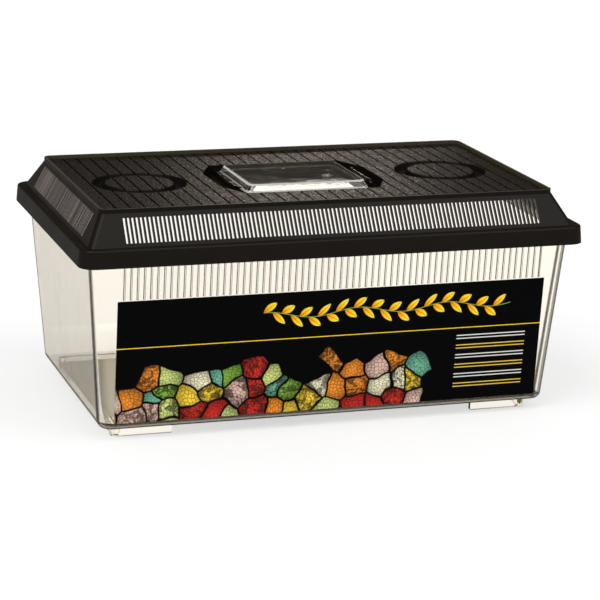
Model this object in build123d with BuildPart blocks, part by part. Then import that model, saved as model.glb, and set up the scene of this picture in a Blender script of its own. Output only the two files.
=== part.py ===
from build123d import *
import math
import os

# Clear plastic terrarium box: a tapered clear tub on four corner feet, a black vented
# lid that lifts off, a clear hatch hinged on the lid and a printed panel on the front.
# Millimetres, +Z up, +X to the right, origin under the middle of the feet.

# Lid: its hem, the lower edge of the skirt, is the widest and deepest line of the object
LID_WIDTH = 460.0
LID_DEPTH = 290.0
LID_WALL = 2.4
SKIRT_HEIGHT = 15.8
SKIRT_FLARE = 1.1
SKIRT_CORNER = 14.2
SKIRT_ROUND = 2.0
LEDGE_WIDTH = 7.7
DOME_RISE = 25.3
DOME_CORNER = 8.0
SLOPE_IN_X = 13.4
SLOPE_IN_Y = 19.0
RIM_RISE = 3.7
RIM_WALL = 2.2

# Tub: height from the underside of the floor to the rim, and how far each wall leans out
TUB_HEIGHT = 163.6
TUB_WALL = 2.2
TUB_FLOOR = 2.6
TUB_CORNER = 12.6
TUB_BOTTOM_ROUND = 5.0
TAPER_X = 12.3
TAPER_Y = 16.0

# Lip round the tub's rim, which carries the lid's ledge inside the skirt
LIP_THICK = 2.2
LIP_OUT_X = 6.0
LIP_OUT_Y = 3.1
LIP_PLAY = 1.1
LID_REST_GAP = 0.1

# Feet: one angled rib under each corner of the floor
FOOT_HEIGHT = 10.0
FOOT_INSET = 13.5
FOOT_LEG = 53.0
FOOT_THICK = 4.0
FOOT_CORNER = 10.0

# Printed panel on the front wall
PANEL_SIDE_MARGIN = 11.1
PANEL_LIFT = 6.5
PANEL_HEIGHT = 111.8
PANEL_THICK = 0.3

# Vertical ribs on the front wall, above the panel
RIB_PITCH = 5.86
RIB_WIDTH = 2.0
RIB_HEIGHT = 0.6
RIB_SIDE_MARGIN = 16.0
RIB_OVER_PANEL = 0.7
RIB_UNDER_LIP = 3.4

# Vent slots through the four slopes of the lid
SLOT_PITCH = 3.72
SLOT_WIDTH = 2.1
SLOT_END_MARGIN = 18.5
SLOT_OVER_LEDGE = 2.9
SLOT_UNDER_PLATEAU = 2.8

# Grooves and flat-bottomed ring channels on the plateau
GROOVE_PITCH = 12.6
GROOVE_WIDTH = 1.2
GROOVE_DEPTH = 1.0
GROOVE_END_MARGIN = 10.0
RING_MID_R = 36.8
RING_WIDTH = 12.6
RING_DEPTH = 4.0
RING_DRAW = 2.4
RING_RIM_GAP = 20.2

# Hatch: a shallow cap with sides that draw in, and a finger tab at its left-hand end
HATCH_HALF_X = 58.0
HATCH_HALF_Y = 48.5
HATCH_HEIGHT = 7.4
HATCH_DRAW_X = 4.0
HATCH_DRAW_Y = 4.0
HATCH_WALL = 2.0
HATCH_CORNER = 6.0
HATCH_ROUND = 1.2
HATCH_REST_GAP = 0.2
TAB_OUT = 6.0
TAB_HALF_Y = 32.0
TAB_LIFT = 1.6
TAB_THICK = 1.8
TAB_CORNER = 3.0

# Well under the hatch, whose two ends narrow and drop into finger pockets
WELL_DEPTH = 3.6
WELL_HALF_Y = 61.0
WELL_OUT = 5.0
WELL_CORNER = 4.0
OPENING_LEDGE = 6.9
OPENING_CORNER = 6.0
POCKET_OUT = 20.0
POCKET_HALF_Y = 28.0
POCKET_EDGE = 1.5

# Hatch hinge, in the right-hand pocket with its axis along Y
HINGE_OUT = 8.0
ARM_THICK = 1.8
PIN_R = 1.5
PIN_PLAY = 0.08
PIN_PAST_EAR = 0.5
BARREL_WALL = 0.8
BARREL_HALF = 22.0
EAR_GAP = 0.8
EAR_THICK = 4.2
EAR_WALL = 1.2
EAR_FOOT = 3.2

# How far a cut runs past the faces that it opens
PAST = 10.0

TUB_TOP_Z = FOOT_HEIGHT + TUB_HEIGHT
LEDGE_Z = TUB_TOP_Z + LID_REST_GAP + LID_WALL
HEM_Z = LEDGE_Z - SKIRT_HEIGHT
PLATEAU_Z = LEDGE_Z + DOME_RISE

HEM_HALF = (LID_WIDTH / 2, LID_DEPTH / 2)
LEDGE_HALF = (HEM_HALF[0] - SKIRT_FLARE, HEM_HALF[1] - SKIRT_FLARE)
DOME_LOW = (LEDGE_HALF[0] - LEDGE_WIDTH, LEDGE_HALF[1] - LEDGE_WIDTH)
DOME_TOP = (DOME_LOW[0] - SLOPE_IN_X, DOME_LOW[1] - SLOPE_IN_Y)
PLATEAU_HALF = (DOME_TOP[0] - RIM_WALL, DOME_TOP[1] - RIM_WALL)
LIP_HALF = (LEDGE_HALF[0] - LID_WALL - LIP_PLAY, LEDGE_HALF[1] - LID_WALL - LIP_PLAY)
TUB_TOP = (LIP_HALF[0] - LIP_OUT_X, LIP_HALF[1] - LIP_OUT_Y)
TUB_LOW = (TUB_TOP[0] - TAPER_X, TUB_TOP[1] - TAPER_Y)
FOOT_HALF = (TUB_LOW[0] - FOOT_INSET, TUB_LOW[1] - FOOT_INSET)

WELL_Z = PLATEAU_Z - WELL_DEPTH
WELL_HALF_X = HATCH_HALF_X + WELL_OUT
OPENING_HALF = (HATCH_HALF_X - OPENING_LEDGE, HATCH_HALF_Y - OPENING_LEDGE)
HATCH_LOW_Z = WELL_Z + HATCH_REST_GAP
HATCH_TOP_Z = HATCH_LOW_Z + HATCH_HEIGHT
TAB_Z = HATCH_LOW_Z + TAB_LIFT
HINGE_X = HATCH_HALF_X + HINGE_OUT
HINGE_Z = HATCH_LOW_Z + ARM_THICK / 2
EAR_R = PIN_R + PIN_PLAY + EAR_WALL
EAR_MID_Y = BARREL_HALF + EAR_GAP + EAR_THICK / 2
POCKET_Z = HINGE_Z - EAR_R - EAR_FOOT
POCKET_END_X = HATCH_HALF_X + POCKET_OUT
POCKET_START_X = HATCH_HALF_X + POCKET_EDGE


def shrink(half, x, y):
    """Half sizes drawn in by x and y."""
    return half[0] - x, half[1] - y


def between(low, high, part):
    """Half sizes the given part of the way from low to high."""
    return low[0] + (high[0] - low[0]) * part, low[1] + (high[1] - low[1]) * part


def side_plane(turn, low, high, low_z, high_z):
    """Plane of one side of a tapered block, through the middle of its lower edge."""
    axis = 0 if turn % 180 == 0 else 1
    lean = math.atan2(low[axis] - high[axis], high_z - low_z)
    out = Vector(math.cos(math.radians(turn)), math.sin(math.radians(turn)), 0)
    origin = out * low[axis] + Vector(0, 0, low_z)
    normal = out * math.cos(lean) + Vector(0, 0, math.sin(lean))
    return Plane(origin=origin, x_dir=Vector(0, 0, 1).cross(out), z_dir=normal)


def tapered_block(low, high, low_z, high_z, corner):
    """Block with four leaning sides and rounded corners, given as half sizes."""
    with BuildPart() as block:
        with BuildSketch(Plane.XY.offset(low_z)):
            Rectangle(2 * max(low[0], high[0]), 2 * max(low[1], high[1]))
        extrude(amount=high_z - low_z)
        for turn in (0, 90, 180, 270):
            split(bisect_by=side_plane(turn, low, high, low_z, high_z), keep=Keep.BOTTOM)
        fillet(block.edges().group_by(Axis.Z)[1], corner)
    return block.part


def well_outline(grow):
    """Outline of the well and its two pockets, grown by the given width."""
    corners = []
    for x_side, y_side in ((1, 1), (-1, 1), (-1, -1), (1, -1)):
        long_end = (x_side * WELL_HALF_X, y_side * WELL_HALF_Y)
        short_end = (x_side * POCKET_END_X, y_side * POCKET_HALF_Y)
        corners += [short_end, long_end] if x_side * y_side > 0 else [long_end, short_end]
    with BuildSketch() as outline:
        Polygon(*corners, align=None)
        fillet(outline.vertices(), WELL_CORNER)
        if grow:
            offset(amount=grow)
    return outline.sketch


# The tub's hollow, a wall's thickness inside it and open at the rim
past_top = between(TUB_LOW, TUB_TOP, (TUB_HEIGHT + PAST) / TUB_HEIGHT)
floor_half = between(TUB_LOW, TUB_TOP, TUB_FLOOR / TUB_HEIGHT)
with BuildPart() as tub_hollow:
    add(tapered_block(
        shrink(floor_half, TUB_WALL, TUB_WALL),
        shrink(past_top, TUB_WALL, TUB_WALL),
        FOOT_HEIGHT + TUB_FLOOR,
        TUB_TOP_Z + PAST,
        TUB_CORNER - TUB_WALL,
    ))
    fillet(tub_hollow.faces().sort_by(Axis.Z)[0].edges(), TUB_BOTTOM_ROUND - TUB_WALL)

# Tub: tapered outside, rim lip, front ribs and corner feet
front_wall = side_plane(270, TUB_LOW, TUB_TOP, FOOT_HEIGHT, TUB_TOP_Z)
wall_up = math.hypot(TUB_HEIGHT, TAPER_Y) / TUB_HEIGHT
panel_low = PANEL_LIFT * wall_up
panel_high = (PANEL_LIFT + PANEL_HEIGHT) * wall_up
rib_low = panel_high + RIB_OVER_PANEL
rib_high = (TUB_HEIGHT - LIP_THICK - RIB_UNDER_LIP) * wall_up
rib_count = int(2 * (TUB_LOW[0] - RIB_SIDE_MARGIN) / RIB_PITCH) + 1
with BuildPart() as tub:
    add(tapered_block(TUB_LOW, TUB_TOP, FOOT_HEIGHT, TUB_TOP_Z, TUB_CORNER))
    fillet(tub.faces().sort_by(Axis.Z)[0].edges(), TUB_BOTTOM_ROUND)
    with BuildSketch(Plane.XY.offset(TUB_TOP_Z - LIP_THICK)):
        RectangleRounded(2 * LIP_HALF[0], 2 * LIP_HALF[1], SKIRT_CORNER - LID_WALL)
    extrude(amount=LIP_THICK)
    with BuildSketch(front_wall):
        with Locations((0, (rib_low + rib_high) / 2)):
            with GridLocations(RIB_PITCH, 1, rib_count, 1):
                Rectangle(RIB_WIDTH, rib_high - rib_low)
    extrude(amount=RIB_HEIGHT)
    add(tub_hollow.part, mode=Mode.SUBTRACT)
    with BuildSketch(Plane.XY):
        RectangleRounded(2 * FOOT_HALF[0], 2 * FOOT_HALF[1], FOOT_CORNER)
        RectangleRounded(
            2 * (FOOT_HALF[0] - FOOT_THICK),
            2 * (FOOT_HALF[1] - FOOT_THICK),
            FOOT_CORNER - FOOT_THICK,
            mode=Mode.SUBTRACT,
        )
        Rectangle(2 * (FOOT_HALF[0] - FOOT_LEG), 2 * FOOT_HALF[1] + PAST, mode=Mode.SUBTRACT)
        Rectangle(2 * FOOT_HALF[0] + PAST, 2 * (FOOT_HALF[1] - FOOT_LEG), mode=Mode.SUBTRACT)
    extrude(amount=FOOT_HEIGHT + TUB_FLOOR / 2)
tub.part.label = "tub"

# Printed panel lying on the front wall
with BuildPart() as front_panel:
    with BuildSketch(front_wall):
        with Locations((0, (panel_low + panel_high) / 2)):
            Rectangle(2 * (TUB_LOW[0] - PANEL_SIDE_MARGIN), panel_high - panel_low)
    extrude(amount=PANEL_THICK)
front_panel.part.label = "front_panel"

# Room under the lid: the skirt's inside up to the ledge, then the dome's inside
wall_x = LID_WALL * math.hypot(SLOPE_IN_X, DOME_RISE) / DOME_RISE
wall_y = LID_WALL * math.hypot(SLOPE_IN_Y, DOME_RISE) / DOME_RISE
under_ledge = between(DOME_LOW, DOME_TOP, -LID_WALL / DOME_RISE)
under_plateau = between(DOME_LOW, DOME_TOP, 1 - LID_WALL / DOME_RISE)
skirt_hollow = tapered_block(
    shrink(HEM_HALF, LID_WALL, LID_WALL),
    shrink(LEDGE_HALF, LID_WALL, LID_WALL),
    HEM_Z,
    LEDGE_Z - LID_WALL,
    SKIRT_CORNER - LID_WALL,
)
dome_hollow = tapered_block(
    shrink(under_ledge, wall_x, wall_y),
    shrink(under_plateau, wall_x, wall_y),
    LEDGE_Z - LID_WALL,
    PLATEAU_Z - LID_WALL,
    DOME_CORNER - LID_WALL,
)

# Skirt with a rounded top edge, before the dome stands on it
with BuildPart() as skirt:
    add(tapered_block(HEM_HALF, LEDGE_HALF, HEM_Z, LEDGE_Z, SKIRT_CORNER))
    fillet(skirt.faces().sort_by(Axis.Z)[-1].edges(), SKIRT_ROUND)

# A ring channel's section widens evenly from its flat bottom to the plateau
ring_run = RING_DRAW / RING_DEPTH
ring_angle = 90 + math.degrees(math.atan(ring_run))
ring_wall_top = RING_WIDTH + 2 * LID_WALL * math.hypot(1, ring_run) - LID_WALL * ring_run
ring_x = DOME_TOP[0] - RING_RIM_GAP - RING_WIDTH / 2 - RING_MID_R
groove_side = int((PLATEAU_HALF[0] - GROOVE_END_MARGIN) / GROOVE_PITCH)

# Lid: skirt, ledge, sloped dome, thin rim round the plateau, hatch well and pockets
with BuildPart() as lid:
    add(skirt.part)
    add(tapered_block(DOME_LOW, DOME_TOP, LEDGE_Z, PLATEAU_Z, DOME_CORNER))
    with BuildSketch(Plane.XY.offset(PLATEAU_Z)):
        RectangleRounded(2 * DOME_TOP[0], 2 * DOME_TOP[1], DOME_CORNER)
        RectangleRounded(
            2 * PLATEAU_HALF[0], 2 * PLATEAU_HALF[1], DOME_CORNER - RIM_WALL, mode=Mode.SUBTRACT
        )
    extrude(amount=RIM_RISE)
    add(skirt_hollow, mode=Mode.SUBTRACT)
    add(dome_hollow, mode=Mode.SUBTRACT)
    # Walls that hang under the plateau: hatch well, finger pockets, ring channels
    with BuildSketch(Plane.XY.offset(WELL_Z - LID_WALL)):
        add(well_outline(LID_WALL))
    extrude(amount=WELL_DEPTH + LID_WALL / 2)
    with BuildSketch(Plane.XY.offset(POCKET_Z - LID_WALL)):
        add(well_outline(LID_WALL))
        Rectangle(
            2 * (POCKET_START_X - LID_WALL), 2 * (WELL_HALF_Y + PAST), mode=Mode.SUBTRACT
        )
    extrude(amount=WELL_Z - POCKET_Z + LID_WALL / 2)
    for side in (-1, 1):
        with BuildSketch(Plane.XZ):
            with Locations((side * ring_x + RING_MID_R, PLATEAU_Z - RING_DEPTH - LID_WALL)):
                Trapezoid(
                    ring_wall_top, RING_DEPTH + LID_WALL / 2, ring_angle,
                    align=(Align.CENTER, Align.MIN),
                )
        revolve(axis=Axis((side * ring_x, 0, 0), (0, 0, 1)))
    # Cuts from above: well, opening, pockets, channels and grooves
    with BuildSketch(Plane.XY.offset(WELL_Z)):
        add(well_outline(0))
    extrude(amount=WELL_DEPTH + PAST, mode=Mode.SUBTRACT)
    with BuildSketch(Plane.XY.offset(WELL_Z)):
        RectangleRounded(2 * OPENING_HALF[0], 2 * OPENING_HALF[1], OPENING_CORNER)
    extrude(amount=LID_WALL + PAST, both=True, mode=Mode.SUBTRACT)
    with BuildSketch(Plane.XY.offset(POCKET_Z)):
        add(well_outline(0))
        Rectangle(2 * POCKET_START_X, 2 * (WELL_HALF_Y + PAST), mode=Mode.SUBTRACT)
    extrude(amount=PLATEAU_Z - POCKET_Z + PAST, mode=Mode.SUBTRACT)
    for side in (-1, 1):
        with BuildSketch(Plane.XZ):
            with Locations((side * ring_x + RING_MID_R, PLATEAU_Z - RING_DEPTH)):
                Trapezoid(
                    RING_WIDTH + 2 * RING_DRAW, 2 * RING_DEPTH, ring_angle,
                    align=(Align.CENTER, Align.MIN),
                )
        revolve(axis=Axis((side * ring_x, 0, 0), (0, 0, 1)), mode=Mode.SUBTRACT)
    with BuildSketch(Plane.XY.offset(PLATEAU_Z - GROOVE_DEPTH)):
        with GridLocations(GROOVE_PITCH, 1, 2 * groove_side + 1, 1):
            Rectangle(GROOVE_WIDTH, 2 * PLATEAU_HALF[1])
    extrude(amount=GROOVE_DEPTH + PAST, mode=Mode.SUBTRACT)
    # Vent slots, each cut square to its slope
    for turn in (0, 90, 180, 270):
        along = 1 if turn % 180 == 0 else 0
        slope_in = SLOPE_IN_X if along else SLOPE_IN_Y
        stretch = math.hypot(slope_in, DOME_RISE) / DOME_RISE
        slot_low = SLOT_OVER_LEDGE * stretch
        slot_high = (DOME_RISE - SLOT_UNDER_PLATEAU) * stretch
        count = int(2 * (DOME_TOP[along] - SLOT_END_MARGIN) / SLOT_PITCH) + 1
        with BuildSketch(side_plane(turn, DOME_LOW, DOME_TOP, LEDGE_Z, PLATEAU_Z)):
            with Locations((0, (slot_low + slot_high) / 2)):
                with GridLocations(SLOT_PITCH, 1, count, 1):
                    Rectangle(SLOT_WIDTH, slot_high - slot_low)
        extrude(amount=2 * LID_WALL, both=True, mode=Mode.SUBTRACT)
    # Two ears on the pocket's floor carry the hatch's pins
    for side in (-1, 1):
        with BuildSketch(Plane.XZ.offset(-side * EAR_MID_Y)):
            with Locations((HINGE_X, HINGE_Z)):
                Circle(EAR_R)
                Rectangle(
                    2 * EAR_R, HINGE_Z - POCKET_Z + LID_WALL / 2, align=(Align.CENTER, Align.MAX)
                )
                Circle(PIN_R + PIN_PLAY, mode=Mode.SUBTRACT)
        extrude(amount=EAR_THICK / 2, both=True)
lid.part.label = "lid"

# Hatch: hollow cap with a finger tab at one end and an arm at the other, which carries
# the hinge barrel and its two pins
hatch_low = (HATCH_HALF_X, HATCH_HALF_Y)
hatch_top = (HATCH_HALF_X - HATCH_DRAW_X, HATCH_HALF_Y - HATCH_DRAW_Y)
under_top = between(hatch_low, hatch_top, 1 - HATCH_WALL / HATCH_HEIGHT)
pin_half = EAR_MID_Y + EAR_THICK / 2 + PIN_PAST_EAR
with BuildPart() as hatch:
    add(tapered_block(hatch_low, hatch_top, HATCH_LOW_Z, HATCH_TOP_Z, HATCH_CORNER))
    fillet(hatch.faces().sort_by(Axis.Z)[-1].edges(), HATCH_ROUND)
    with BuildSketch(Plane.XY.offset(TAB_Z)):
        with Locations((-HATCH_HALF_X + HATCH_WALL + TAB_CORNER, 0)):
            RectangleRounded(
                TAB_OUT + HATCH_WALL + TAB_CORNER, 2 * TAB_HALF_Y, TAB_CORNER,
                align=(Align.MAX, Align.CENTER),
            )
    extrude(amount=TAB_THICK)
    with BuildSketch(Plane.XY.offset(HATCH_LOW_Z)):
        with Locations((HATCH_HALF_X - HATCH_WALL, 0)):
            Rectangle(HINGE_OUT + HATCH_WALL, 2 * BARREL_HALF, align=(Align.MIN, Align.CENTER))
    extrude(amount=ARM_THICK)
    add(tapered_block(
        shrink(hatch_low, HATCH_WALL, HATCH_WALL),
        shrink(under_top, HATCH_WALL, HATCH_WALL),
        HATCH_LOW_Z,
        HATCH_TOP_Z - HATCH_WALL,
        HATCH_CORNER - HATCH_WALL,
    ), mode=Mode.SUBTRACT)
    with BuildSketch(Plane.XZ):
        with Locations((HINGE_X, HINGE_Z)):
            Circle(PIN_R + BARREL_WALL)
    extrude(amount=BARREL_HALF, both=True)
    with BuildSketch(Plane.XZ):
        with Locations((HINGE_X, HINGE_Z)):
            Circle(PIN_R)
    extrude(amount=pin_half, both=True)
hatch.part.label = "hatch"

os.makedirs("parts", exist_ok=True)
export_step(tub.part, "parts/tub.step")
export_step(lid.part, "parts/lid.step")
export_step(hatch.part, "parts/hatch.step")
export_step(front_panel.part, "parts/front_panel.step")
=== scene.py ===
import math

import bmesh
import bpy
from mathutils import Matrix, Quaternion, Vector


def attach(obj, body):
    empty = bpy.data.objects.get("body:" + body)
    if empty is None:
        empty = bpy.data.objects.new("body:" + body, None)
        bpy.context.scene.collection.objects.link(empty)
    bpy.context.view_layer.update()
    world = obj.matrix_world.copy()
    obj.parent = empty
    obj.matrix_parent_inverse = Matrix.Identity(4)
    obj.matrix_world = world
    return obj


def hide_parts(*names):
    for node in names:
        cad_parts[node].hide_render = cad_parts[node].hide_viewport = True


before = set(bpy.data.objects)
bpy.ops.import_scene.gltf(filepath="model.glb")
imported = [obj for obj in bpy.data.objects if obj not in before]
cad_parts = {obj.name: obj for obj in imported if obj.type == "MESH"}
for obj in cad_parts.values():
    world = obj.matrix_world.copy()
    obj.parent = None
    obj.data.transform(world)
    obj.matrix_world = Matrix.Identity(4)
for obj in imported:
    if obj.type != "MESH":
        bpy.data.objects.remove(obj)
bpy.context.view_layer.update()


# Tub: one clear polystyrene moulding with walls that lean out, a lip round the rim for the
# lid, upright ribs across the top of the front wall and an angled foot under each corner.
# Everything else stands on it or in it.
tub_low_half = (0.2071, 0.1213)
tub_rim_half = (0.21923, 0.13708)
lip_half = (0.2254, 0.1404)
tub_bottom_z, lip_under_z = 0.010, 0.1714
tub_wall = 0.0022
tub_corner, bottom_round = 0.0126, 0.005
wall_lean = math.atan2(tub_rim_half[1] - tub_low_half[1], lip_under_z - tub_bottom_z)
rib_pitch, rib_count = 0.00586, 66
rib_wide, rib_deep, rib_round = 0.0020, 0.0018, 0.00085
rib_low_z, rib_high_z = 0.1293, 0.1679
foot_half = (0.1936, 0.1078)
foot_leg, foot_thick, foot_high = 0.053, 0.004, 0.011
foot_outer_round, foot_inner_round = 0.004, 0.006
hair = 0.0001  # places that lie this close count as the same
doubled = 0.00001  # points that lie this close are one point


def start_piece(name, place, size, turn=(0, 0, 0)):
    """A block of the given size at its place, in edit mode and ready to be shaped."""
    bpy.ops.object.select_all(action="DESELECT")
    bpy.ops.mesh.primitive_cube_add(size=1, location=place, scale=size, rotation=turn)
    piece = bpy.context.object
    piece.name = name
    piece.data.name = name
    bpy.ops.object.transform_apply(location=True, rotation=True, scale=True)
    bpy.ops.object.mode_set(mode="EDIT")
    return piece


def pick(kind, wanted):
    """In edit mode, selects only the vertices, edges or faces that are wanted."""
    bpy.ops.mesh.select_mode(type=kind)
    bpy.ops.mesh.select_all(action="DESELECT")
    mesh = bmesh.from_edit_mesh(bpy.context.edit_object.data)
    for item in {"VERT": mesh.verts, "EDGE": mesh.edges, "FACE": mesh.faces}[kind]:
        item.select_set(bool(wanted(item)))
    mesh.select_flush_mode()
    bmesh.update_edit_mesh(bpy.context.edit_object.data)


def taper(from_half, to_half):
    """Scales what is picked so that one half size, across and deep, becomes another."""
    bpy.ops.transform.resize(value=(to_half[0] / from_half[0], to_half[1] / from_half[1], 1))


def round_off(radius, segments):
    """Rounds the edges that are picked."""
    bpy.ops.mesh.bevel(offset=radius, segments=segments, affect="EDGES")


def upright(edge):
    """True for an edge that runs mostly up the piece."""
    run = edge.verts[0].co - edge.verts[1].co
    return abs(run.z) > 0.8 * run.length


def apply_modifier(piece, kind, **settings):
    """Adds one modifier with its settings and applies it."""
    bpy.context.view_layer.objects.active = piece
    modifier = piece.modifiers.new(kind.lower(), kind)
    for name, value in settings.items():
        setattr(modifier, name, value)
    bpy.ops.object.modifier_apply(modifier=modifier.name)


def thicken(piece, wall, edge_round):
    """Gives an open shell its wall, inwards, and takes the sharpness off its edges."""
    apply_modifier(piece, "SOLIDIFY", thickness=wall, offset=-1, use_even_offset=True)
    apply_modifier(
        piece, "BEVEL", width=edge_round, segments=2, limit_method="ANGLE",
        angle_limit=math.radians(50),
    )


def weld(piece, *added):
    """Joins closed shapes into one moulding, with no faces left inside it."""
    for other in added:
        apply_modifier(piece, "BOOLEAN", operation="UNION", solver="EXACT", object=other)
        bpy.data.objects.remove(other)


def smooth_moulding(piece):
    """Rounds the look of the corners and keeps the broad walls flat."""
    bpy.ops.object.select_all(action="DESELECT")
    piece.select_set(True)
    bpy.context.view_layer.objects.active = piece
    bpy.ops.object.shade_smooth_by_angle(angle=math.radians(32))
    apply_modifier(piece, "WEIGHTED_NORMAL", keep_sharp=True, weight=60)


tub = start_piece(
    "tub_shell",
    (0, 0, (tub_bottom_z + lip_under_z) / 2),
    (2 * tub_rim_half[0], 2 * tub_rim_half[1], lip_under_z - tub_bottom_z),
)
pick("FACE", lambda f: f.normal.z < -0.9)
taper(tub_rim_half, tub_low_half)
pick("EDGE", upright)
round_off(tub_corner, 10)
pick("EDGE", lambda e: all(v.co.z < tub_bottom_z + hair for v in e.verts))
round_off(bottom_round, 6)
pick("FACE", lambda f: f.normal.z > 0.9 and f.calc_center_median().z > tub_bottom_z + hair)
bpy.ops.mesh.delete(type="ONLY_FACE")
pick("EDGE", lambda e: all(v.co.z > lip_under_z - hair for v in e.verts))
bpy.ops.mesh.extrude_edges_move()
taper(tub_rim_half, lip_half)
bpy.ops.object.mode_set(mode="OBJECT")
thicken(tub, tub_wall, 0.0005)

rib_mid_z = (rib_low_z + rib_high_z) / 2
rib_y = -tub_low_half[1] - (rib_mid_z - tub_bottom_z) * math.tan(wall_lean)
ribs = start_piece(
    "front_ribs",
    (-rib_pitch * (rib_count - 1) / 2, rib_y, rib_mid_z),
    (rib_wide, rib_deep, (rib_high_z - rib_low_z) / math.cos(wall_lean)),
    (wall_lean, 0, 0),
)
pick("EDGE", upright)
round_off(rib_round, 4)
bpy.ops.object.mode_set(mode="OBJECT")
apply_modifier(
    ribs, "ARRAY", count=rib_count, use_relative_offset=False, use_constant_offset=True,
    constant_offset_displace=(rib_pitch, 0, 0),
)

foot = start_piece(
    "corner_feet",
    (foot_half[0] - foot_thick / 2, foot_half[1] - foot_thick / 2, foot_high / 2),
    (foot_thick, foot_thick, foot_high),
)
pick("FACE", lambda f: f.normal.x < -0.9)
bpy.ops.mesh.extrude_region_move(
    TRANSFORM_OT_translate={"value": (foot_thick - foot_leg, 0, 0)}
)
pick("FACE", lambda f: f.normal.y < -0.9
     and f.calc_center_median().x > foot_half[0] - foot_thick)
bpy.ops.mesh.extrude_region_move(
    TRANSFORM_OT_translate={"value": (0, foot_thick - foot_leg, 0)}
)
for inset, radius in ((0, foot_outer_round), (foot_thick, foot_inner_round)):
    pick("EDGE", lambda e: upright(e) and all(
        abs(e.verts[0].co[axis] - foot_half[axis] + inset) < hair for axis in (0, 1)))
    round_off(radius, 6)
pick("EDGE", lambda e: all(v.co.z < hair for v in e.verts))
round_off(0.0006, 2)
# The outer rounding ends on the seams of the legs, where its points double theirs.
bpy.ops.mesh.select_all(action="SELECT")
bpy.ops.mesh.remove_doubles(threshold=doubled)
bpy.ops.object.mode_set(mode="OBJECT")
apply_modifier(foot, "MIRROR", use_axis=(True, True, False))
weld(tub, ribs, foot)
smooth_moulding(tub)


def add_node(tree, kind, **values):
    """Adds a shader node. Each value sets the setting or the input of that name, or the input
    of that number as in i0, and a socket is linked to it."""
    node = tree.nodes.new(kind)
    for name, value in values.items():
        if hasattr(node, name):
            setattr(node, name, value)
            continue
        numbered = name[0] == "i" and name[1:].isdigit()
        socket = node.inputs[int(name[1:]) if numbered else name.replace("_", " ")]
        if isinstance(value, bpy.types.NodeSocket):
            tree.links.new(value, socket)
        else:
            socket.default_value = value
    return node


def socket_of(tree, kind, **values):
    """Adds a shader node and gives its first output."""
    return add_node(tree, kind, **values).outputs[0]


def new_finish(name):
    """An empty material with its tree and output node."""
    finish = bpy.data.materials.new(name)
    finish.use_nodes = True
    finish.node_tree.nodes.clear()
    return finish, finish.node_tree, finish.node_tree.nodes.new("ShaderNodeOutputMaterial")


def maths(tree, operation, first, second=0.0, third=0.0):
    """One step of arithmetic on sockets or numbers."""
    return socket_of(
        tree, "ShaderNodeMath", operation=operation, i0=first, i1=second, i2=third
    )


def split(tree, vector):
    """The three parts of a vector."""
    return tuple(add_node(tree, "ShaderNodeSeparateXYZ", Vector=vector).outputs)


def scaled(tree, value, low, high, to_low=0.0, to_high=1.0):
    """Stretches a value from one range to another, and stops it at the ends."""
    return socket_of(
        tree, "ShaderNodeMapRange", Value=value, From_Min=low, From_Max=high,
        To_Min=to_low, To_Max=to_high,
    )


def size_of(tree, value):
    """A value without its sign."""
    return maths(tree, "ABSOLUTE", value)


def above(tree, value, limit):
    """1 where a value is over a limit."""
    return maths(tree, "GREATER_THAN", value, limit)


def below(tree, value, limit):
    """1 where a value is under a limit."""
    return maths(tree, "LESS_THAN", value, limit)


def between(tree, value, low, high, soft=0.0001):
    """1 where a value lies between two limits, with soft edges."""
    rise = scaled(tree, value, low - soft, low + soft)
    fall = scaled(tree, value, high + soft, high - soft)
    return maths(tree, "MULTIPLY", rise, fall)


def within(tree, value, half):
    """1 where a value is no further than half from 0, with soft edges."""
    return between(tree, value, -half, half)


def all_of(tree, *shares):
    """1 where every one of the shares is 1."""
    total = shares[0]
    for share in shares[1:]:
        total = maths(tree, "MULTIPLY", total, share)
    return total


def any_of(tree, *shares):
    """1 where at least one of the shares is 1."""
    total = shares[0]
    for share in shares[1:]:
        total = maths(tree, "MAXIMUM", total, share)
    return total


def over(tree, share, ground, coat):
    """Lays one colour over another by a share from 0 to 1."""
    node = tree.nodes.new("ShaderNodeMix")
    node.data_type = "RGBA"
    factor, first, second = node.inputs[0], node.inputs[6], node.inputs[7]
    for socket, value in ((factor, share), (first, ground), (second, coat)):
        if isinstance(value, bpy.types.NodeSocket):
            tree.links.new(value, socket)
        else:
            socket.default_value = (*value, 1)
    return node.outputs[2]


grain_and_shade_half = (0.1975, 0.0880)
clear_warm = (0.985, 0.972, 0.945)
# The olive edge colour is an olive tint with painted shade.
olive_edge_tint_and_shade = (0.10, 0.09, 0.05)
# The dark line colour is painted shade.
painted_shade_line = (0.05, 0.047, 0.036)
# The floor field's tints are painted shade over its real speckled grain.
floor_shade_tints_middle = ((0.74, 0.71, 0.57), (0.95, 0.92, 0.78))
floor_shade_tints_ends = ((0.34, 0.31, 0.21), (0.52, 0.48, 0.36))


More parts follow.
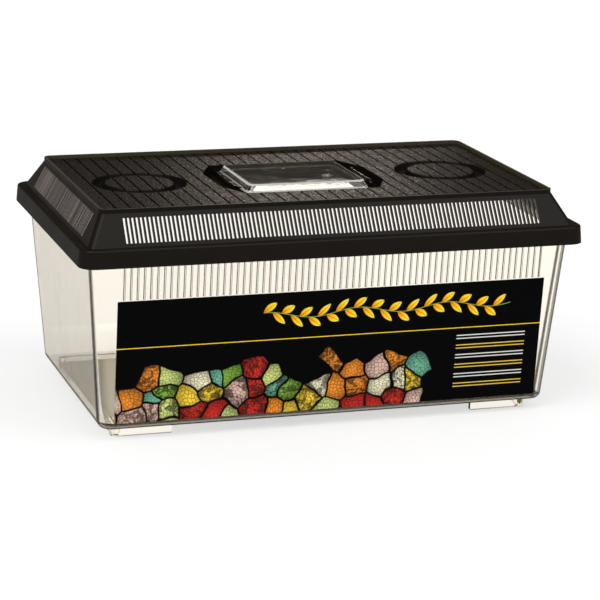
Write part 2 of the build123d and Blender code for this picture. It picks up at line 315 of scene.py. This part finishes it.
def clear_polystyrene(name, marks):
    """Clear warm plastic that turns olive where it is seen edge on, an olive tint with painted
    shade, and lets the lamps through. marks gives the shares of the surface that are grained and
    tinted with painted shade, painted dark lines, and painted highlight. The last two may be None."""
    finish, tree, output = new_finish(name)
    coords = add_node(tree, "ShaderNodeTexCoord").outputs
    place = coords["Object"]
    grain_and_shade, painted_shade_lines, painted_highlight = marks(tree, place, coords["Normal"])
    flow = socket_of(tree, "ShaderNodeTexNoise", Vector=place, Scale=26.0, Detail=1.0)
    grain = socket_of(tree, "ShaderNodeTexNoise", Vector=place, Scale=700.0, Detail=2.0)
    wavy = socket_of(tree, "ShaderNodeBump", Height=flow, Strength=0.35, Distance=0.00025)
    skin = socket_of(
        tree, "ShaderNodeBump", Height=grain, Normal=wavy, Strength=grain_and_shade, Distance=0.0004
    )
    dull = scaled(tree, grain_and_shade, 0.0, 1.0, 0.015, 0.28)

    x, y, _ = split(tree, place)
    # The floor field's tint is painted shade over its real grain: darker all over, and darker still
    # towards its ends.
    to_end = maths(tree, "MULTIPLY_ADD", y, 0.20, size_of(tree, x))
    shade_toward_ends = scaled(tree, to_end, 0.172, 0.187)
    speckle = scaled(tree, grain, 0.35, 0.65)
    floor_grain_and_shade = over(
        tree, shade_toward_ends, over(tree, speckle, *floor_shade_tints_middle),
        over(tree, speckle, *floor_shade_tints_ends),
    )
    side_on = add_node(tree, "ShaderNodeLayerWeight", Blend=0.5).outputs["Facing"]
    colour = over(tree, grain_and_shade, clear_warm, floor_grain_and_shade)
    # Seen edge on, the plastic turns olive and dark: an olive tint with painted shade.
    colour = over(tree, scaled(tree, side_on, 0.84, 0.97), colour, olive_edge_tint_and_shade)
    # Painted shade lines darken the plastic where it bends the light away.
    if painted_shade_lines is not None:
        colour = over(tree, painted_shade_lines, colour, painted_shade_line)
    plastic = socket_of(
        tree, "ShaderNodeBsdfPrincipled", Base_Color=colour, Roughness=dull, Normal=skin,
        IOR=1.59, Transmission_Weight=1.0,
    )
    lamp_light = socket_of(tree, "ShaderNodeBsdfTransparent", Color=(0.93, 0.92, 0.88, 1))
    rays = add_node(tree, "ShaderNodeLightPath").outputs
    surface = socket_of(
        tree, "ShaderNodeMixShader", i0=rays["Is Shadow Ray"], i1=plastic, i2=lamp_light
    )
    # Painted highlight: milky diffuse white where the edges catch the light.
    if painted_highlight is not None:
        highlight_diffuse = socket_of(tree, "ShaderNodeBsdfDiffuse", Color=(0.86, 0.85, 0.79, 1))
        surface = socket_of(tree, "ShaderNodeMixShader", i0=painted_highlight, i1=surface, i2=highlight_diffuse)
    depth_tint = socket_of(
        tree, "ShaderNodeVolumeAbsorption", Color=(0.86, 0.72, 0.42, 1), Density=46.0
    )
    tree.links.new(surface, output.inputs["Surface"])
    tree.links.new(depth_tint, output.inputs["Volume"])
    return finish


def tub_marks(tree, place, normal):
    """The floor's grained field, tinted with painted shade, and painted shade lines where the
    plastic bends the light away: the ribs' flanks, the rounded upright corners and the rounded
    bottom edge."""
    x, y, z = split(tree, place)
    facing_x, _, facing_z = split(tree, normal)
    sideways = size_of(tree, facing_x)
    floor_field = all_of(
        tree, between(tree, z, tub_bottom_z - hair, tub_bottom_z + tub_wall + 0.0005),
        within(tree, x, grain_and_shade_half[0]), within(tree, y, grain_and_shade_half[1]),
    )
    # The ribs' flanks get a painted shade line.
    flanks = all_of(
        tree, below(tree, y, -0.12), within(tree, x, 0.193),
        between(tree, z, rib_low_z - 0.0003, rib_high_z + 0.0003), above(tree, sideways, 0.22),
    )

    # Each corner's painted shade line is a band of its rounded surface, found by how far it has
    # turned sideways and by how far from the middle it would stand if the walls didn't lean.
    lean = math.tan(wall_lean)
    lean_back = maths(tree, "MULTIPLY_ADD", z, -lean, tub_bottom_z * lean)
    from_middle = maths(tree, "ADD", size_of(tree, y), lean_back)
    on_left, on_right = below(tree, x, 0.0), above(tree, x, 0.0)
    in_front, at_back = below(tree, y, 0.0), above(tree, y, 0.0)
    left_line = all_of(
        tree, on_left, in_front, above(tree, sideways, 0.80),
        between(tree, from_middle, 0.1030, 0.1105, 0.0004),
    )
    right_lines = all_of(
        tree, on_right, in_front,
        any_of(
            tree, between(tree, sideways, 0.04, 0.24, 0.02),
            between(tree, sideways, 0.60, 0.97, 0.03),
        ),
    )
    far_line = all_of(
        tree, on_left, at_back, above(tree, sideways, 0.92), above(tree, from_middle, 0.1080)
    )
    corner_lines = all_of(
        tree, between(tree, z, tub_bottom_z, 0.1700), above(tree, from_middle, 0.1),
        above(tree, size_of(tree, x), 0.19), any_of(tree, left_line, right_lines, far_line), 0.93,
    )
    # The rounded bottom edge gets a painted shade line.
    bottom_lines = all_of(
        tree, above(tree, z, tub_bottom_z - hair), below(tree, z, tub_bottom_z + 0.0066),
        between(tree, facing_z, -0.93, -0.05, 0.03), 0.97,
    )
    return floor_field, any_of(tree, flanks, corner_lines, bottom_lines), None


tub.data.materials.append(clear_polystyrene("clear_tub_plastic", tub_marks))
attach(tub, "tub")
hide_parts("tub")


# Printed panel: a thin film with a black ground, stuck on the front wall under the ribs. A
# fine yellow rule crosses it, with a leafy vine above and bright pebbles and ruled stripes
# below. Its back is plain ink.
panel_low_z, panel_high_z = 0.0165, 0.1283
panel_half_width = 0.196
film_gap, film_thick = 0.00004, 0.00026
panel_mid_z = (panel_low_z + panel_high_z) / 2
panel_y = -tub_low_half[1] - (panel_mid_z - tub_bottom_z) * math.tan(wall_lean)
off_wall = film_gap + film_thick / 2
panel = start_piece(
    "front_print",
    (
        0,
        panel_y - off_wall * math.cos(wall_lean),
        panel_mid_z - off_wall * math.sin(wall_lean),
    ),
    (2 * panel_half_width, film_thick, (panel_high_z - panel_low_z) / math.cos(wall_lean)),
    (wall_lean, 0, 0),
)
pick("EDGE", lambda e: (e.verts[0].co - e.verts[1].co).length < 2 * film_thick)
round_off(0.0006, 2)
bpy.ops.object.mode_set(mode="OBJECT")


def ramp(tree, value, steps, *stops):
    """A choice of colours along a value from 0 to 1, in steps or blended."""
    node = add_node(tree, "ShaderNodeValToRGB", Fac=value)
    bar = node.color_ramp
    bar.interpolation = "CONSTANT" if steps else "LINEAR"
    while len(bar.elements) < len(stops):
        bar.elements.new(1)
    for element, (position, colour) in zip(bar.elements, stops):
        element.position = position
        element.color = (*colour, 1)
    return node.outputs["Color"]


ground_black = (0.0016, 0.0019, 0.0022)
rule_yellow = (0.85, 0.56, 0.01)
stripe_white, stripe_yellow = (0.74, 0.74, 0.70), (0.74, 0.50, 0.06)
back_ink = (0.022, 0.023, 0.025)
rule_low_z, rule_high_z = 0.0849, 0.0857
pile_low_z, pile_high_z, pile_end_x = 0.056, 0.080, 0.098

finish, tree, output = new_finish("printed_film")
coords = add_node(tree, "ShaderNodeTexCoord").outputs
x, _, z = split(tree, coords["Object"])
sheet = socket_of(tree, "ShaderNodeCombineXYZ", X=x, Y=z)
bend = add_node(tree, "ShaderNodeTexNoise", Vector=sheet, Scale=45.0, Detail=1.0)
bent = socket_of(
    tree, "ShaderNodeVectorMath", operation="MULTIPLY_ADD", i0=bend.outputs["Color"],
    i1=(0.012, 0.012, 0), i2=sheet,
)


def packed_stones(tree, sheet, scale, **settings):
    """A flat pattern of close-packed stones, smaller for a larger scale."""
    return add_node(
        tree, "ShaderNodeTexVoronoi", voronoi_dimensions="2D", Vector=sheet, Scale=scale,
        Randomness=0.9, **settings,
    ).outputs


pebble_scale, skin_scale = 54.0, 330.0
pebbles = packed_stones(tree, bent, pebble_scale)
pebble_rims = packed_stones(tree, bent, pebble_scale, feature="DISTANCE_TO_EDGE")["Distance"]
skin_rims = packed_stones(tree, bent, skin_scale, feature="DISTANCE_TO_EDGE")["Distance"]
lot = add_node(tree, "ShaderNodeSeparateColor", Color=pebbles["Color"]).outputs
pebble_x, pebble_z, _ = split(tree, pebbles["Position"])
pebble_colour = ramp(
    tree, lot[0], True,
    (0.0, (0.22, 0.42, 0.06)), (0.13, (0.62, 0.70, 0.22)), (0.27, (0.90, 0.62, 0.05)),
    (0.42, (0.85, 0.28, 0.03)), (0.55, (0.62, 0.03, 0.02)), (0.67, (0.72, 0.47, 0.38)),
    (0.80, (0.16, 0.44, 0.30)), (0.90, (0.86, 0.80, 0.55)),
)
streaks = socket_of(
    tree, "ShaderNodeTexNoise", Vector=bent, Scale=150.0, Detail=3.0, Distortion=1.2
)
spotted = above(tree, lot[1], 0.45)
marking = all_of(tree, spotted, scaled(tree, streaks, 0.47, 0.53), 0.75)
marked = over(tree, marking, pebble_colour, (0.03, 0.02, 0.01))
shaded = scaled(tree, pebbles["Distance"], 0.1, 0.75, 1.05, 0.4)
scaly = scaled(tree, skin_rims, 0.04, 0.16, 0.35, 1.0)
lit = over(tree, maths(tree, "MULTIPLY", shaded, scaly), (0, 0, 0), marked)
skyline = socket_of(
    tree, "ShaderNodeTexNoise", noise_dimensions="1D", W=pebble_x, Scale=22.0
)
skyline_z = scaled(tree, skyline, 0.3, 0.7, pile_low_z, pile_high_z)
picture = all_of(
    tree, below(tree, pebble_z, skyline_z), below(tree, pebble_x, pile_end_x),
    scaled(tree, pebble_rims, 0.035, 0.075),
)
colour = over(tree, picture, ground_black, lit)
colour = over(tree, between(tree, z, rule_low_z, rule_high_z), colour, rule_yellow)

vine_start, vine_end, vine_z = -0.0660, 0.1650, 0.1075
vine_sway, vine_waves = 0.0032, 75.0
stem_half, leaf_rib_half = 0.00035, 0.00016
leaf_pitch, leaf_long, leaf_wide = 0.0165, 0.0150, 0.0030
leaf_turn = math.radians(38)
wave = maths(tree, "SINE", maths(tree, "MULTIPLY", x, vine_waves))
stem_z = maths(tree, "MULTIPLY_ADD", wave, vine_sway, vine_z)
over_stem = maths(tree, "SUBTRACT", z, stem_z)
stem = all_of(tree, between(tree, x, vine_start, vine_end), within(tree, over_stem, stem_half))
colour = over(tree, stem, colour, (0.16, 0.40, 0.05))
for side, shift in ((1, 0.0), (-1, 0.5)):
    along = maths(tree, "FRACT", maths(tree, "MULTIPLY_ADD", x, 1 / leaf_pitch, shift + 20))
    along = maths(tree, "MULTIPLY", along, leaf_pitch)
    away = maths(tree, "MULTIPLY", over_stem, side)
    run = maths(
        tree, "MULTIPLY_ADD", away, math.sin(leaf_turn),
        maths(tree, "MULTIPLY", along, math.cos(leaf_turn)),
    )
    off = maths(
        tree, "MULTIPLY_ADD", away, math.cos(leaf_turn),
        maths(tree, "MULTIPLY", along, -math.sin(leaf_turn)),
    )
    mid_run = maths(tree, "MULTIPLY_ADD", run, 2 / leaf_long, -1.0)
    bulge = maths(
        tree, "MULTIPLY_ADD", maths(tree, "MULTIPLY", mid_run, mid_run), -leaf_wide, leaf_wide
    )
    blade = maths(tree, "SUBTRACT", bulge, size_of(tree, off))
    inset = shift * leaf_pitch
    leaf = all_of(
        tree, between(tree, x, vine_start + inset, vine_end - inset),
        between(tree, blade, 0.0, 1.0), above(tree, size_of(tree, off), leaf_rib_half),
    )
    leaf_colour = ramp(
        tree, maths(tree, "MULTIPLY", run, 1 / leaf_long), False,
        (0.0, (0.80, 0.16, 0.01)), (0.35, (0.90, 0.42, 0.01)), (0.7, (0.95, 0.66, 0.02)),
        (1.0, (0.96, 0.80, 0.10)),
    )
    colour = over(tree, leaf, colour, leaf_colour)

row_pitch = 0.0092
rows_start, rows_end, rows_low_z, rows_high_z = 0.116, 0.182, 0.0268, 0.0790
row = maths(tree, "MULTIPLY", z, 1 / row_pitch)
row_part = maths(tree, "FRACT", row)
odd_row = above(tree, maths(tree, "FRACT", maths(tree, "MULTIPLY", row, 0.5)), 0.5)
stripes = any_of(
    tree, between(tree, row_part, 0.10, 0.20, 0.01), between(tree, row_part, 0.42, 0.52, 0.01)
)
ruled = all_of(
    tree, stripes, between(tree, x, rows_start, rows_end), between(tree, z, rows_low_z, rows_high_z)
)
colour = over(tree, ruled, colour, over(tree, odd_row, stripe_white, stripe_yellow))
_, facing_y, _ = split(tree, coords["Normal"])
colour = over(tree, above(tree, facing_y, 0.5), colour, back_ink)
press = socket_of(tree, "ShaderNodeTexNoise", Vector=sheet, Scale=900.0, Detail=2.0)
ink_skin = socket_of(tree, "ShaderNodeBump", Height=press, Strength=0.2, Distance=0.0001)
ink = socket_of(
    tree, "ShaderNodeBsdfPrincipled", Base_Color=colour, Normal=ink_skin,
    Roughness=scaled(tree, press, 0.0, 1.0, 0.32, 0.52), Specular_IOR_Level=0.06,
)
tree.links.new(ink, output.inputs["Surface"])
panel.data.materials.append(finish)
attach(panel, "tub")
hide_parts("front_panel")


# Lid: one black polystyrene moulding that drops over the tub's lip, with sloped sides full
# of vent slots, a grooved top with two ring channels, and a well for the hatch. Its CAD
# shape is right, so it stays and gets the moulding's satin finish and softened edges, with
# painted shade in its grooves, ring channels and well, a painted sheen on its slot walls,
# a painted reflection inside its rim and a painted highlight on the rim's crest.
plateau_low_z, plateau_high_z = 0.2011, 0.2018
plateau_half_y = 0.1140
groove_pitch, groove_shade_half, groove_end_x, groove_low_z = 0.0126, 0.00088, 0.1960, 0.1998
slot_low_z, slot_high_z = 0.1785, 0.1990
ring_low_z, ring_high_z, ring_end_x = 0.1960, 0.2007, 0.2040
well_low_z, well_high_z, well_half = 0.1925, 0.2012, (0.0795, 0.0525)
rim_crest_z = 0.2022
plain_blacks = ((0.0078, 0.0058, 0.0040), (0.0104, 0.0081, 0.0060))
slat_blacks = ((0.0070, 0.0055, 0.0044), (0.0230, 0.0172, 0.0132))
# Painted shade: the grooves are drawn as near-black bands wider than the grooves.
groove_painted_shade = (0.0010, 0.0008, 0.0006)
# Painted shade in the ring channels and the well.
sunk_shade_black = (0.0060, 0.0050, 0.0040)
# Painted sheen on the slot walls.
end_slot_painted_sheen = ((0.15, 0.13, 0.12), (0.42, 0.37, 0.34))
long_slot_painted_sheen = (0.20, 0.18, 0.145)
# Painted reflection inside the rim, and painted highlight on its crest.
rim_inside_painted_reflection, rim_crest_highlight = (0.060, 0.050, 0.028), (0.060, 0.052, 0.040)

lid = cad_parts["lid"]
finish, tree, output = new_finish("black_lid_plastic")
coords = add_node(tree, "ShaderNodeTexCoord").outputs
place = coords["Object"]
x, y, z = split(tree, place)
facing_x, facing_y, facing_z = split(tree, coords["Normal"])
# Each share is 1 on its own part of the moulding, found by place and direction.
slats = all_of(
    tree, between(tree, z, plateau_low_z, plateau_high_z), above(tree, facing_z, 0.8)
)
# The grooves get wide near-black bands of painted shade.
slat_part = maths(tree, "FRACT", maths(tree, "MULTIPLY_ADD", x, 1 / groove_pitch, 20.5))
off_groove = size_of(tree, maths(tree, "SUBTRACT", slat_part, 0.5))
groove_shade_bands = all_of(
    tree, between(tree, z, groove_low_z, plateau_high_z), within(tree, x, groove_end_x),
    within(tree, y, plateau_half_y), below(tree, off_groove, groove_shade_half / groove_pitch),
)
# The slot walls get lighter greys, a painted sheen where they catch the light, streaked on the end
# slopes.
slot_height = between(tree, z, slot_low_z, slot_high_z)
end_slot_walls = all_of(
    tree, slot_height, above(tree, size_of(tree, x), 0.2065),
    above(tree, size_of(tree, facing_y), 0.95),
)
long_slot_walls = all_of(
    tree, slot_height, above(tree, size_of(tree, y), 0.1150), within(tree, x, 0.2000),
    above(tree, size_of(tree, facing_x), 0.95),
)
ring_channels = all_of(
    tree, between(tree, z, ring_low_z, ring_high_z), within(tree, x, ring_end_x),
    within(tree, y, plateau_half_y),
)
well = all_of(
    tree, between(tree, z, well_low_z, well_high_z), within(tree, x, well_half[0]),
    within(tree, y, well_half[1]),
)
outward = maths(tree, "MULTIPLY_ADD", x, facing_x, maths(tree, "MULTIPLY", y, facing_y))
# The rim's inside wall is painted olive, a painted reflection.
rim_inside = all_of(tree, above(tree, z, plateau_high_z), below(tree, outward, -0.09))
# The rim's crest is painted lighter grey, a painted highlight.
rim_crest = all_of(tree, above(tree, z, rim_crest_z), above(tree, facing_z, 0.5))

drawn_out = socket_of(tree, "ShaderNodeMapping", Vector=place, Scale=(1.0, 0.34, 1.0))
grain = socket_of(
    tree, "ShaderNodeTexNoise", Vector=drawn_out, Scale=480.0, Detail=3.0, Roughness=0.6
)
sheen_streaks_noise = socket_of(
    tree, "ShaderNodeTexNoise", noise_dimensions="1D", W=y, Scale=520.0, Detail=2.0
)
fine = socket_of(tree, "ShaderNodeTexNoise", Vector=place, Scale=1500.0, Detail=2.0)
cloud = socket_of(tree, "ShaderNodeTexNoise", Vector=place, Scale=28.0, Detail=3.0)
sheen_streaks = scaled(tree, sheen_streaks_noise, 0.35, 0.65)
mottle = scaled(tree, grain, 0.38, 0.62)

black = over(tree, cloud, *plain_blacks)
for share, coat in (
    (slats, over(tree, mottle, *slat_blacks)),
    (groove_shade_bands, groove_painted_shade),
    (end_slot_walls, over(tree, sheen_streaks, *end_slot_painted_sheen)),
    (long_slot_walls, long_slot_painted_sheen),
    (ring_channels, sunk_shade_black),
    (rim_inside, rim_inside_painted_reflection),
    (rim_crest, rim_crest_highlight),
):
    black = over(tree, share, black, coat)
dull = scaled(tree, cloud, 0.0, 1.0, 0.28, 0.44)
dull = maths(
    tree, "MULTIPLY_ADD", slats, maths(tree, "MULTIPLY_ADD", mottle, 0.24, -0.17), dull
)
matt = any_of(tree, groove_shade_bands, end_slot_walls, long_slot_walls)
dull = maths(tree, "MULTIPLY_ADD", matt, 0.7, dull)
dull = maths(tree, "MULTIPLY_ADD", ring_channels, 0.15, dull)
soft_edge = socket_of(tree, "ShaderNodeBevel", samples=6, Radius=0.0005)
skin = socket_of(
    tree, "ShaderNodeBump", Height=fine, Normal=soft_edge, Strength=0.15, Distance=0.0001
)
pebbled = socket_of(
    tree, "ShaderNodeBump", Height=grain, Normal=skin, Strength=slats, Distance=0.0004
)
plastic = socket_of(
    tree, "ShaderNodeBsdfPrincipled", Base_Color=black, Roughness=dull, Normal=pebbled,
    Specular_IOR_Level=0.16,
)
# Painted shade in the grooves, ring channels and well: a near-black diffuse surface without gloss.
shade_diffuse = socket_of(tree, "ShaderNodeBsdfDiffuse", Color=(*sunk_shade_black, 1))
half_sunk_shade = maths(tree, "MULTIPLY", any_of(tree, ring_channels, well), 0.75)
sunk_shade = maths(tree, "MULTIPLY", any_of(tree, half_sunk_shade, groove_shade_bands), 0.92)
surface = socket_of(tree, "ShaderNodeMixShader", i0=sunk_shade, i1=plastic, i2=shade_diffuse)
tree.links.new(surface, output.inputs["Surface"])
lid.data.materials.clear()
lid.data.materials.append(finish)


# Hatch: a shallow clear cap that drops into the well over the lid's opening, with a finger
# tab at one end and, at the other, an arm and barrel whose two pins snap into the lid's ears.
hatch_low_z, hatch_top_z = 0.1980, 0.2054
hatch_low_half, hatch_top_half = (0.0580, 0.0485), (0.0540, 0.0445)
hatch_wall, hatch_corner, hatch_round = 0.002, 0.006, 0.0013
tab_x, tab_z, tab_size, tab_corner = -0.0603, 0.2005, (0.0074, 0.064, 0.0018), 0.003
hinge_x, hinge_z = 0.0660, 0.1989
arm_x, arm_size, arm_end_share = 0.0613, (0.0094, 0.044, 0.0018), 0.7
barrel_radius, barrel_half = 0.0023, 0.0220
pin_radius, pin_half = 0.0015, 0.0275
hatch = start_piece(
    "hatch_cap",
    (0, 0, (hatch_low_z + hatch_top_z) / 2),
    (2 * hatch_low_half[0], 2 * hatch_low_half[1], hatch_top_z - hatch_low_z),
)
pick("FACE", lambda f: f.normal.z > 0.9)
taper(hatch_low_half, hatch_top_half)
pick("EDGE", lambda e: abs(e.verts[0].co.z - e.verts[1].co.z) > hair)
round_off(hatch_corner, 7)
pick("EDGE", lambda e: all(v.co.z > hatch_top_z - hair for v in e.verts))
round_off(hatch_round, 4)
pick("FACE", lambda f: f.normal.z < -0.9)
bpy.ops.mesh.delete(type="ONLY_FACE")
bpy.ops.object.mode_set(mode="OBJECT")
thicken(hatch, hatch_wall, 0.0003)

tab = start_piece("finger_tab", (tab_x, 0, tab_z), tab_size)
pick("EDGE", lambda e: upright(e) and e.verts[0].co.x < tab_x)
round_off(tab_corner, 4)
pick("EDGE", lambda e: not upright(e) and all(v.co.x < -hatch_low_half[0] for v in e.verts))
round_off(0.0004, 2)
bpy.ops.object.mode_set(mode="OBJECT")

arm = start_piece("hinge_arm", (arm_x, 0, hinge_z), arm_size)
pick("FACE", lambda f: f.normal.x > 0.9)
bpy.ops.transform.resize(value=(1, 1, arm_end_share))
bpy.ops.object.mode_set(mode="OBJECT")

barrel_and_pins = []
for radius, half_length in ((barrel_radius, barrel_half), (pin_radius, pin_half)):
    bpy.ops.object.select_all(action="DESELECT")
    bpy.ops.mesh.primitive_cylinder_add(
        vertices=28, radius=radius, depth=2 * half_length,
        location=(hinge_x, 0, hinge_z), rotation=(math.pi / 2, 0, 0),
    )
    bpy.ops.object.transform_apply(location=True, rotation=True, scale=True)
    bpy.ops.object.mode_set(mode="EDIT")
    pick("EDGE", lambda e: abs(e.verts[0].co.y - e.verts[1].co.y) < hair)
    round_off(0.0003, 2)
    bpy.ops.object.mode_set(mode="OBJECT")
    barrel_and_pins.append(bpy.context.object)
weld(hatch, tab, arm, *barrel_and_pins)
smooth_moulding(hatch)


def hatch_marks(tree, place, normal):
    """Faint handling marks, and a painted highlight, milky diffuse white, where the top's rounded
    edge and the foot of the sides catch the light."""
    smears = socket_of(tree, "ShaderNodeTexNoise", Vector=place, Scale=55.0, Detail=3.0)
    x, _, z = split(tree, place)
    _, _, facing_z = split(tree, normal)
    top_edges = all_of(
        tree, between(tree, facing_z, 0.35, 0.92, 0.02), above(tree, z, hatch_top_z - 0.0016)
    )
    base_edges = all_of(
        tree, above(tree, z, hatch_low_z - 0.0002), below(tree, z, hatch_low_z + 0.0010),
        within(tree, x, hatch_low_half[0] + 0.0005),
    )
    # The edges' milky white is a painted highlight.
    painted_highlight = maths(tree, "MULTIPLY", any_of(tree, top_edges, base_edges), 0.6)
    return scaled(tree, smears, 0.5, 0.75, 0.0, 0.08), None, painted_highlight


hatch.data.materials.append(clear_polystyrene("clear_hatch_plastic", hatch_marks))
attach(hatch, "hatch")
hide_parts("hatch")


# Studio: a white floor, two broad soft lamps, a small warm one at the back that the lid's top
# mirrors, and a pale room that the plastic mirrors only faintly. The floor keeps a light
# shadow, and looks white to the camera and through the tub.
bpy.ops.object.select_all(action="DESELECT")
bpy.ops.mesh.primitive_plane_add(size=16, location=(0, 0, 0))
floor = bpy.context.object
floor.name = "floor"


def mirrored_only(tree, rays):
    """1 for rays that a surface has mirrored, and not for those it has bent and let through,
    which count as glossy too."""
    return maths(tree, "SUBTRACT", rays["Is Glossy Ray"], rays["Is Transmission Ray"])


finish, tree, output = new_finish("white_floor")
rays = add_node(tree, "ShaderNodeLightPath").outputs
shade = over(tree, mirrored_only(tree, rays), (1, 1, 1), (0.19, 0.18, 0.17))
paper = socket_of(tree, "ShaderNodeBsdfDiffuse", Color=shade)
behind = maths(tree, "MULTIPLY_ADD", rays["Is Transmission Ray"], 0.23, 1.0)
bright = socket_of(tree, "ShaderNodeEmission", Color=(1, 1, 1, 1), Strength=behind)
seen_lift = maths(tree, "MULTIPLY", rays["Is Camera Ray"], 0.6)
lift = maths(tree, "MULTIPLY_ADD", rays["Is Transmission Ray"], 0.78, seen_lift)
surface = socket_of(tree, "ShaderNodeMixShader", i0=lift, i1=paper, i2=bright)
tree.links.new(surface, output.inputs["Surface"])
floor.data.materials.append(finish)

world = bpy.data.worlds.new("studio_room")
bpy.context.scene.world = world
world.use_nodes = True
tree = world.node_tree
tree.nodes.clear()
output = tree.nodes.new("ShaderNodeOutputWorld")
_, _, height = split(tree, add_node(tree, "ShaderNodeTexCoord").outputs["Generated"])
rays = add_node(tree, "ShaderNodeLightPath").outputs
horizon = scaled(tree, height, 0.02, 0.12, 0.35, 0.045)
mirrored = maths(tree, "ADD", horizon, scaled(tree, height, 0.88, 0.96))
seen_through = scaled(tree, height, 0.02, 0.15, 1.1, 0.05)
strength = 0.55
for ray, value in (
    ("Is Glossy Ray", mirrored), ("Is Transmission Ray", seen_through), ("Is Camera Ray", 1.0)
):
    others = maths(tree, "SUBTRACT", 1.0, rays[ray])
    kept = maths(tree, "MULTIPLY", strength, others)
    strength = maths(tree, "MULTIPLY_ADD", rays[ray], value, kept)
warmth = over(tree, mirrored_only(tree, rays), (1, 1, 1), (1.0, 0.88, 0.78))
room = socket_of(tree, "ShaderNodeBackground", Color=warmth, Strength=strength)
tree.links.new(room, output.inputs["Surface"])


def stand_for(name, item):
    """Puts a lamp or camera into the scene."""
    stand = bpy.data.objects.new(name, item)
    bpy.context.scene.collection.objects.link(stand)
    return stand


for name, heading_deg, height_deg, energy, spread_deg in (
    ("lamp_left", -60, 50, 1.32, 40), ("lamp_right", 40, 45, 1.02, 60)
):
    lamp = bpy.data.lights.new(name, "SUN")
    lamp.energy = energy
    lamp.angle = math.radians(spread_deg)
    heading, lamp_height = math.radians(heading_deg), math.radians(height_deg)
    source = Vector((
        math.cos(lamp_height) * math.sin(heading),
        -math.cos(lamp_height) * math.cos(heading),
        math.sin(lamp_height),
    ))
    stand_for(name, lamp).rotation_euler = source.to_track_quat("Z", "Y").to_euler()

lamp_place, lamp_target = Vector((0.51, 1.5, 0.605)), Vector((0, 0, 0.2))
lamp = bpy.data.lights.new("lamp_back", "AREA")
lamp.shape = "RECTANGLE"
lamp.size, lamp.size_y = 0.34, 0.07
lamp.energy = 0.40
lamp.color = (1.0, 0.87, 0.76)
stand = stand_for("lamp_back", lamp)
stand.location = lamp_place
stand.rotation_euler = (lamp_place - lamp_target).to_track_quat("Z", "Y").to_euler()
stand.visible_camera = False
stand.visible_transmission = False

camera_place = Vector((-0.65115, -2.00515, 0.64564))
camera_target = Vector((0.00671, -0.01026, 0.08636))
camera_roll = math.radians(1.475)
camera = bpy.data.cameras.new("camera")
camera.sensor_width = 36
camera.lens = 141.09
stand = stand_for("camera", camera)
stand.location = camera_place
aim = (camera_target - camera_place).to_track_quat("-Z", "Y")
stand.rotation_euler = (aim @ Quaternion((0, 0, 1), camera_roll)).to_euler()
bpy.context.scene.camera = stand
bpy.context.scene.view_settings.view_transform = "Standard"
